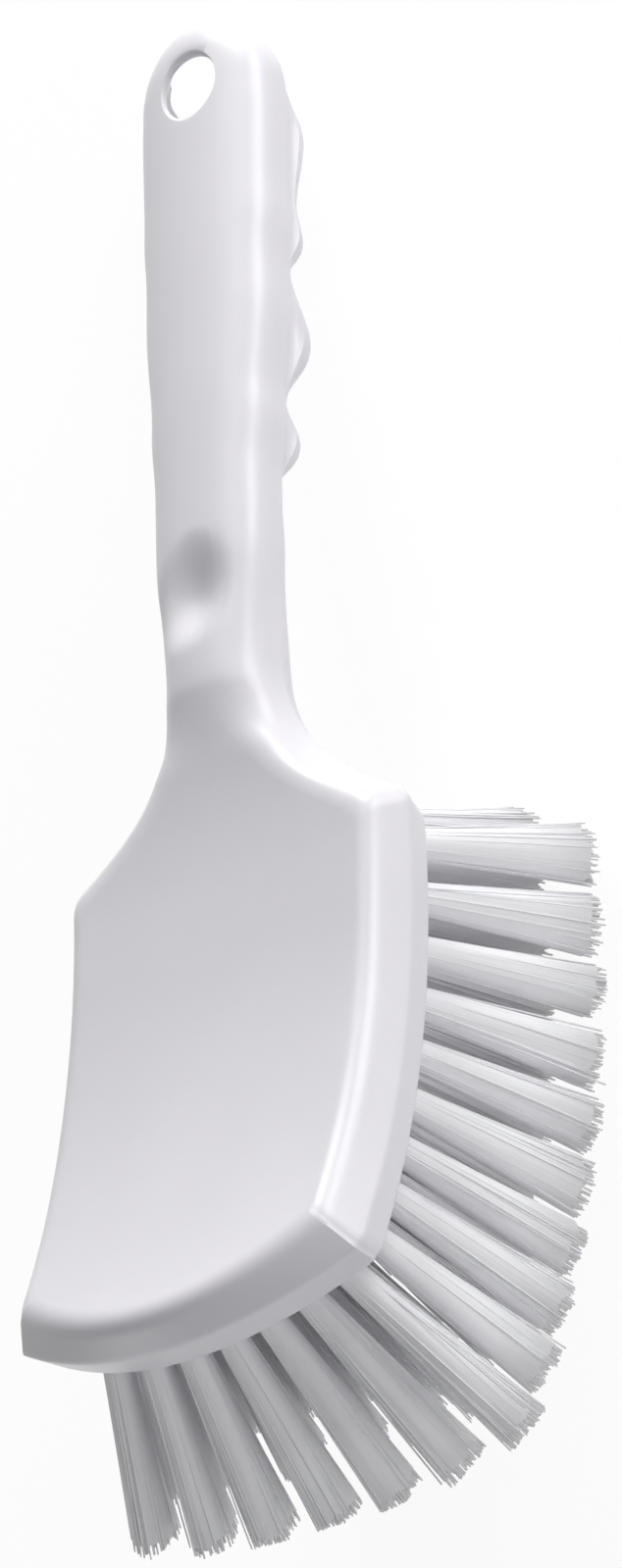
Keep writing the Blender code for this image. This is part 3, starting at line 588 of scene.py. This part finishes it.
def make_moulding():
    """Handle and block as one skin, with the hang hole and the tuft holes cut into it."""
    points, faces = moulding_surface()
    body = add_object("brush_moulding", add_mesh("brush_moulding", laid_down(points), faces))
    rise = math.radians(HANDLE_RISE_DEG)
    centre = np.array((-HANG_HOLE_REACH, 0.0, float(top_height(np.array(-HANG_HOLE_REACH)))))
    hole = turned(*hang_hole_profile(), centre, (math.sin(rise), 0.0, math.cos(rise)), HANG_HOLE_SIDES)
    cutters = [(hole.reshape(-1, 3), revolved_faces(hole.shape[0], HANG_HOLE_SIDES, 0))]
    drilled, drilled_faces, count = [], [], 0
    radius = np.full(2, TUFT_RADIUS + HOLE_CLEARANCE)
    seats = [np.concatenate(part) for part in zip(*(tuft_seats(row) for row in range(NECK_ROW, TUFT_ROWS)))]
    for seat, leave in zip(*seats):
        drilled.append(turned(radius, (-HOLE_DEPTH, OVERRUN), np.zeros(2), seat, leave, HOLE_SIDES).reshape(-1, 3))
        drilled_faces.append(revolved_faces(2, HOLE_SIDES, count))
        count += len(drilled[-1])
    cutters.append((np.vstack(drilled), np.vstack(drilled_faces)))
    tools = []
    for number, (shape, shape_faces) in enumerate(cutters):
        tool = add_object(f"cutter_{number}", add_mesh(f"cutter_{number}", laid_down(shape), shape_faces))
        tools.append(tool)
        cut = body.modifiers.new(tool.name, "BOOLEAN")
        cut.operation = "DIFFERENCE"
        cut.solver = "EXACT"
        cut.object = tool
    bpy.context.view_layer.update()
    whole = body.evaluated_get(bpy.context.evaluated_depsgraph_get())
    finished = bpy.data.meshes.new_from_object(whole)
    body.modifiers.clear()
    body.data = finished
    for tool in tools:
        bpy.data.objects.remove(tool)
    finished.shade_smooth()
    finished.set_sharp_from_angle(angle=math.radians(SHARP_DEG))
    return body


def square_to(leave):
    """Two directions square to a tuft's own and to each other."""
    side = np.cross(leave, (0.0, 1.0, 0.0))
    side /= np.linalg.norm(side)
    return side, np.cross(leave, side)


def splayed(flat, t, splay):
    """Offsets from a tuft's axis, stretched along the brush and drawn in across it, in step with the length."""
    t = np.clip(t, 0.0, 1.0)[..., None]
    return flat * (1.0 - t + t * np.array((splay, 1.0 / math.sqrt(splay))))


def tuft_core(seat, leave, splay, chance, first):
    """Packed middle of a tuft: rings just inside its outer filaments, growing evenly, with an uneven cut at the end.

    Each ring is a circle with a few shallow lobes, splayed as the filaments are. UV: across the rim and back, up the
    share of the length.
    """
    side, up = square_to(leave)
    t = np.array((-FOLD_DEPTH / TUFT_LENGTH, *CORE_STATION_SHARES))[:, None] * np.ones(CORE_SIDES)
    t[-1] -= chance.uniform(0.0, CORE_RAGGED_SHARE, CORE_SIDES)
    turn = np.linspace(0.0, math.tau, CORE_SIDES, endpoint=False)
    out = np.clip(t, 0.0, 1.0)
    radius = CORE_FIT_SHARE * (TUFT_RADIUS + TUFT_SPREAD * out)
    radius *= 1.0 + LOBE_SHARE * out * np.cos(LOBES * turn + chance.uniform(0.0, math.tau))
    flat = splayed(radius[..., None] * np.stack((np.cos(turn), np.sin(turn)), 1), t, splay)
    points = seat + (t * TUFT_LENGTH)[..., None] * leave + flat[..., :1] * side + flat[..., 1:] * up
    uv = np.stack((np.abs(turn / math.pi - 1.0) + 0.0 * t, t), -1)
    return points.reshape(-1, 3), revolved_faces(len(t), CORE_SIDES, first), uv.reshape(-1, 2)


def filament_paths(seat, leave, splay, chance):
    """Centre lines of one tuft's filaments, as stations along each.

    Roots lie on a sunflower spiral in the hole. Each line runs straight along the tuft and drifts outwards in step
    with its length, by its own share of the spread and a little stray of its own. Filaments that lie together share
    the length at which they were cut.
    """
    side, up = square_to(leave)
    count = FILAMENTS_PER_TUFT
    k = np.arange(count) + 0.5
    angle = math.pi * (3.0 - math.sqrt(5.0)) * k + chance.uniform(0.0, math.tau)
    share = (k / count) ** CROWDING_POWER
    plan = np.stack((np.cos(angle), np.sin(angle)), 1)
    start = plan * (share * (TUFT_RADIUS - FILAMENT_RADIUS))[:, None]
    loose = chance.uniform(0.0, 1.0, (count, 1)) > 1.0 - WIDE_STRAY_SHARE
    stray = chance.normal(0.0, 1.0, (count, 2)) * np.where(loose, WIDE_STRAY, STRAY)
    drift = plan * (share * TUFT_SPREAD)[:, None] + stray
    middles = chance.uniform(-1.0, 1.0, (CLUMPS_PER_TUFT, 2))
    nearest = ((plan * share[:, None])[:, None] - middles[None]) ** 2
    clump = chance.uniform(0.0, 1.0, CLUMPS_PER_TUFT)[nearest.sum(2).argmin(1)]
    length = TUFT_LENGTH - CLUMP_STEP * clump**2 - np.abs(chance.normal(0.0, TIP_RAGGED, count))
    t = np.array((-FOLD_DEPTH / TUFT_LENGTH, *STATION_SHARES))
    out = np.clip(t, 0.0, 1.0)[None, :, None]
    wave = chance.normal(0.0, WAVE, (count, 1, 2)) * np.sin(math.pi * out)
    flat = splayed(start[:, None, :] + drift[:, None, :] * out + wave, t, splay)
    along = t[None, :] * length[:, None]
    return seat + along[..., None] * leave + flat[..., :1] * side + flat[..., 1:] * up


def kept_inside(lines):
    """Filament stations whose last one is slid back along its stretch to the table and to the model's box."""
    last, before = lines[:, -1], lines[:, -2]
    low, high = (np.array(corner) for corner in cad_box)
    low = low + FILAMENT_RADIUS
    low[2] = max(low[2], TABLE_CLEARANCE + FILAMENT_RADIUS)
    high = high - FILAMENT_RADIUS
    step = np.where(np.abs(last - before) < LEAST_STEP, LEAST_STEP, last - before)
    limit = np.where(step > 0.0, high, low)
    share = np.clip((limit - before) / step, 0.0, 1.0).min(1)
    lines[:, -1] = before + (last - before) * share[:, None]
    return lines


def filament_tubes(lines, tone):
    """Thin square tubes round centre lines, with UV: across the tone of each filament, up the share of its length."""
    count, stations = lines.shape[:2]
    run = lines[:, -1] - lines[:, 0]
    run /= np.linalg.norm(run, axis=1)[:, None]
    side = np.cross(run, (0.0, 1.0, 0.0))
    side /= np.linalg.norm(side, axis=1)[:, None]
    up = np.cross(run, side)
    angle = np.linspace(0.0, math.tau, FILAMENT_SIDES, endpoint=False) + tone[:, None] * math.tau
    spoke = np.cos(angle)[..., None] * side[:, None] + np.sin(angle)[..., None] * up[:, None]
    points = lines[:, :, None] + FILAMENT_RADIUS * spoke[:, None]
    ids = np.arange(points.size // 3).reshape(count, stations, FILAMENT_SIDES)
    after = np.roll(ids, -1, 2)
    walls = quads(ids[:, :-1], after[:, :-1], after[:, 1:], ids[:, 1:])
    roots = ids[:, 0, ::-1]
    tips = ids[:, -1]
    share = np.linspace(0.0, 1.0, stations)
    uv = np.stack(np.broadcast_arrays(tone[:, None, None], share[None, :, None], ids * 0.0)[:2], -1)
    return points.reshape(-1, 3), np.vstack((walls, roots, tips)), uv.reshape(-1, 2)


def make_tuft_rows():
    """Rows of tufts, from the short one nearest the neck on, each tuft a bundle that fans out of its hole."""
    chance = np.random.default_rng(RANDOM_SEED)
    rows = []
    for row in range(NECK_ROW, TUFT_ROWS):
        seats = [(*seat, chance.uniform(SPLAY_LEAST, SPLAY_MOST)) for seat in zip(*tuft_seats(row))]
        lines = kept_inside(laid_down(np.concatenate([filament_paths(*seat, chance) for seat in seats])))
        tone = chance.uniform(0.0, 1.0, len(lines))
        parts = [filament_tubes(lines, tone)]
        for seat in seats:
            shape, sides, place = tuft_core(*seat, chance, sum(len(part[0]) for part in parts))
            parts.append((np.clip(laid_down(shape), *cad_box), sides, place))
        points, faces, uv = (np.concatenate(part) for part in zip(*parts))
        name = f"bristle_row_{row + 1:02d}"
        rows.append(add_object(name, add_mesh(name, points, faces, uv)))
    return rows


def linear(hex_colour):
    """sRGB hex value as the linear colour that a shader takes."""
    value = np.array([int(hex_colour[i : i + 2], 16) for i in (1, 3, 5)]) / 255.0
    value = np.where(value <= 0.04045, value / 12.92, ((value + 0.055) / 1.055) ** 2.4)
    return (*value, 1.0)


def add_node(tree, kind, settings=(), links=(), **inputs):
    """One node with its settings, its inputs by name and its links, each from a socket to a named input."""
    node = tree.nodes.new(kind)
    for name, value in dict(settings).items():
        setattr(node, name, value)
    for name, value in inputs.items():
        node.inputs[name.replace("_", " ")].default_value = value
    for source, target in links:
        tree.links.new(source, node.inputs[target])
    return node


def new_finish(name):
    """Empty node material with its Principled shader."""
    finish = bpy.data.materials.new(name)
    finish.use_nodes = True
    return finish, finish.node_tree, finish.node_tree.nodes["Principled BSDF"]


# Sizes of the patterns of the finishes
CLOUD_SIZE = 28.0 * MM
SMEAR_SIZE = 6.0 * MM
SKIN_SIZE = 2.2 * MM
SKIN_DEPTH = 0.4 * MM
MILKY_DEPTH = 2.0 * MM
STREAKS_ACROSS = 40.0
STREAKS_ALONG = 1.3
STREAK_DEPTH = 0.3 * MM


def moulded_polypropylene():
    """White polypropylene, injection moulded in a polished tool.

    The eye gets a smooth cool white with soft wide reflections, a faint unevenness of the skin and fine scuffs.
    """
    finish, tree, shader = new_finish("moulded_white_polypropylene")
    place = add_node(tree, "ShaderNodeTexCoord").outputs["Object"]
    cloud = add_node(tree, "ShaderNodeTexNoise", links=[(place, "Vector")], Scale=1.0 / CLOUD_SIZE, Detail=3.0)
    tint = add_node(tree, "ShaderNodeMix", {"data_type": "RGBA"}, [(cloud.outputs["Fac"], "Factor")])
    tint.inputs[6].default_value = linear("#E8E6EC")
    tint.inputs[7].default_value = linear("#F0EEF3")
    tree.links.new(tint.outputs[2], shader.inputs["Base Color"])
    smear = add_node(tree, "ShaderNodeTexNoise", links=[(place, "Vector")], Scale=1.0 / SMEAR_SIZE, Detail=4.0)
    rough = add_node(tree, "ShaderNodeMapRange", links=[(smear.outputs["Fac"], "Value")], To_Min=0.26, To_Max=0.36)
    tree.links.new(rough.outputs["Result"], shader.inputs["Roughness"])
    skin = add_node(tree, "ShaderNodeTexNoise", links=[(place, "Vector")], Scale=1.0 / SKIN_SIZE, Detail=2.0)
    bump = add_node(tree, "ShaderNodeBump", links=[(skin.outputs["Fac"], "Height")], Strength=0.05, Distance=SKIN_DEPTH)
    tree.links.new(bump.outputs["Normal"], shader.inputs["Normal"])
    shader.inputs["IOR"].default_value = 1.49
    shader.inputs["Subsurface Weight"].default_value = 0.15
    shader.inputs["Subsurface Radius"].default_value = (1.0, 1.0, 1.1)
    shader.inputs["Subsurface Scale"].default_value = MILKY_DEPTH
    return finish


def pbt_filament():
    """Natural PBT filament, drawn and cut: milky white with a satin sheen, each strand a shade off the next."""
    finish, tree, shader = new_finish("natural_pbt_filament")
    strand = add_node(tree, "ShaderNodeUVMap", {"uv_map": "strand"}).outputs["UV"]
    drawn = add_node(tree, "ShaderNodeVectorMath", {"operation": "MULTIPLY"}, [(strand, 0)])
    drawn.inputs[1].default_value = (STREAKS_ACROSS, STREAKS_ALONG, 0.0)
    flat, across = {"noise_dimensions": "2D"}, [(drawn.outputs[0], "Vector")]
    streak = add_node(tree, "ShaderNodeTexNoise", flat, across, Scale=1.0, Detail=3.0)
    tint = add_node(tree, "ShaderNodeMix", {"data_type": "RGBA"}, [(streak.outputs["Fac"], "Factor")])
    tint.inputs[6].default_value = linear("#F0F0F5")
    tint.inputs[7].default_value = linear("#FEFEFF")
    tree.links.new(tint.outputs[2], shader.inputs["Base Color"])
    height = [(streak.outputs["Fac"], "Height")]
    lines = add_node(tree, "ShaderNodeBump", links=height, Strength=0.4, Distance=STREAK_DEPTH)
    tree.links.new(lines.outputs["Normal"], shader.inputs["Normal"])
    shader.inputs["Roughness"].default_value = 0.45
    shader.inputs["IOR"].default_value = 1.5
    return finish


# White ground: half its side, its strength to the eye and the part of it that glows
TABLE_HALF_SIDE = 3000.0 * MM
TABLE_GLOW = 1.12
TABLE_GLOW_SHARE = 0.8


def seen_directly(tree):
    """Socket that is 1 for rays that reach the eye straight, through something clear or off something shiny."""
    ray = add_node(tree, "ShaderNodeLightPath")
    seen = add_node(tree, "ShaderNodeMath", {"operation": "MAXIMUM"})
    tree.links.new(ray.outputs["Is Camera Ray"], seen.inputs[0])
    tree.links.new(ray.outputs["Is Transmission Ray"], seen.inputs[1])
    any_ray = add_node(tree, "ShaderNodeMath", {"operation": "MAXIMUM"}, [(seen.outputs[0], 0)])
    tree.links.new(ray.outputs["Is Glossy Ray"], any_ray.inputs[1])
    return any_ray.outputs[0]


def table_finish():
    """White board: to the light a matt pale board, to the eye, in gloss and through clear parts nearly plain white.

    The board's own share to the eye keeps a soft shadow of the brush.
    """
    finish, tree, shader = new_finish("white_table")
    shader.inputs["Base Color"].default_value = linear("#F4F4F4")
    shader.inputs["Roughness"].default_value = 0.9
    part = add_node(tree, "ShaderNodeMath", {"operation": "MULTIPLY"}, [(seen_directly(tree), 0)])
    part.inputs[1].default_value = TABLE_GLOW_SHARE
    white = add_node(tree, "ShaderNodeEmission", Strength=TABLE_GLOW)
    white.inputs["Color"].default_value = (1.0, 1.0, 1.0, 1.0)
    mix = add_node(tree, "ShaderNodeMixShader", links=[(part.outputs[0], 0)])
    tree.links.new(shader.outputs[0], mix.inputs[1])
    tree.links.new(white.outputs[0], mix.inputs[2])
    tree.links.new(mix.outputs[0], tree.nodes["Material Output"].inputs["Surface"])
    return finish


def make_table():
    """Plain square table top under the brush."""
    half = TABLE_HALF_SIDE
    points = np.array(((-half, -half, 0.0), (half, -half, 0.0), (half, half, 0.0), (-half, half, 0.0)))
    table = add_object("table_top", add_mesh("table_top", points, np.array(((0, 1, 2, 3),))))
    table.data.materials.append(table_finish())


# Camera: place and directions in the block's frame, found by laying the model over the picture, whose size and
# middle are in pixels
CAMERA_DISTANCE = 1300.0 * MM
CAMERA_RIGHT = (-0.10255, 0.76276, -0.63850)
CAMERA_UP = (-0.85179, 0.26417, 0.45239)
CAMERA_BACK = (0.51374, 0.59027, 0.62262)
PIXELS_PER_MM = 5.82
PICTURE = (634.0, 1599.0)
MIDDLE = (211.45, 1089.98)
SENSOR_WIDTH = 36.0
NEAR_CLIP = 50.0 * MM
FAR_CLIP = 20000.0 * MM


def make_camera():
    """Camera of the picture: looks square to the fitted plane, with the shift that its framing needs."""
    lens = bpy.data.cameras.new("camera")
    tilt = math.radians(REST_TILT_DEG)
    turn = np.array(((math.cos(tilt), 0.0, -math.sin(tilt)), (0.0, 1.0, 0.0), (math.sin(tilt), 0.0, math.cos(tilt))))
    axes = (turn @ np.array((CAMERA_RIGHT, CAMERA_UP, CAMERA_BACK)).T)
    place = laid_down(np.array(CAMERA_BACK) * CAMERA_DISTANCE)
    matrix = Matrix.Identity(4)
    for row in range(3):
        matrix[row][0], matrix[row][1], matrix[row][2] = axes[row]
        matrix[row][3] = place[row]
    camera = add_object("camera", lens)
    camera.matrix_world = matrix
    lens.sensor_width = SENSOR_WIDTH
    lens.lens = PIXELS_PER_MM / MM * CAMERA_DISTANCE / PICTURE[1] * SENSOR_WIDTH
    lens.shift_x = (PICTURE[0] / 2.0 - MIDDLE[0]) / PICTURE[1]
    lens.shift_y = (MIDDLE[1] - PICTURE[1] / 2.0) / PICTURE[1]
    lens.clip_start = NEAR_CLIP
    lens.clip_end = FAR_CLIP
    bpy.context.scene.camera = camera


# Light: soft boxes by bearing from the brush's tip and height above the table, in degrees, and power in watts
SOFT_BOXES = ((180, 12, 11.6), (135, 12, 8.4), (45, 12, 3.8), (315, 12, 1.8), (180, 38, 1.6), (90, 38, 0.9))
SOFT_BOX_SIZE = 700.0 * MM
SOFT_BOX_DISTANCE = 1400.0 * MM
SOFT_BOX_TARGET = 40.0 * MM
ROOM_LIGHT = 0.15
ROOM_SEEN = 1.0


def add_lamp(name, bearing, height, power):
    """Square soft box on a sphere round the brush, turned to its middle and left out of the picture."""
    data = bpy.data.lights.new(name, "AREA")
    data.size = SOFT_BOX_SIZE
    data.energy = power
    lamp = add_object(name, data)
    flat = math.cos(height)
    way = Vector((flat * math.cos(bearing), flat * math.sin(bearing), math.sin(height)))
    lamp.location = Vector((0.0, 0.0, SOFT_BOX_TARGET)) + way * SOFT_BOX_DISTANCE
    lamp.rotation_mode = "QUATERNION"
    lamp.rotation_quaternion = way.to_track_quat("Z", "Y")
    lamp.visible_camera = False


def make_light():
    """Soft boxes low round the brush, strongest beyond the handle's end, in a dim room that looks white."""
    world = bpy.data.worlds.new("room")
    world.use_nodes = True
    bpy.context.scene.world = world
    tree = world.node_tree
    back = tree.nodes["Background"]
    back.inputs["Color"].default_value = (0.98, 0.985, 1.0, 1.0)
    seen = [(seen_directly(tree), "Value")]
    strength = add_node(tree, "ShaderNodeMapRange", links=seen, To_Min=ROOM_LIGHT, To_Max=ROOM_SEEN)
    tree.links.new(strength.outputs["Result"], back.inputs["Strength"])
    for bearing, height, power in SOFT_BOXES:
        add_lamp(f"soft_box_{bearing}_{height}", math.radians(bearing), math.radians(height), power)


moulding = make_moulding()
moulding.data.materials.clear()
moulding.data.materials.append(moulded_polypropylene())
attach(moulding, "root")
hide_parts("handle_block")
filament = pbt_filament()
for number, row in enumerate(make_tuft_rows()):
    row.data.materials.append(filament)
    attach(row, "root")
    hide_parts(f"tuft_row_{number:02d}")
make_table()
make_camera()
make_light()
bpy.context.scene.view_settings.view_transform = "Standard"
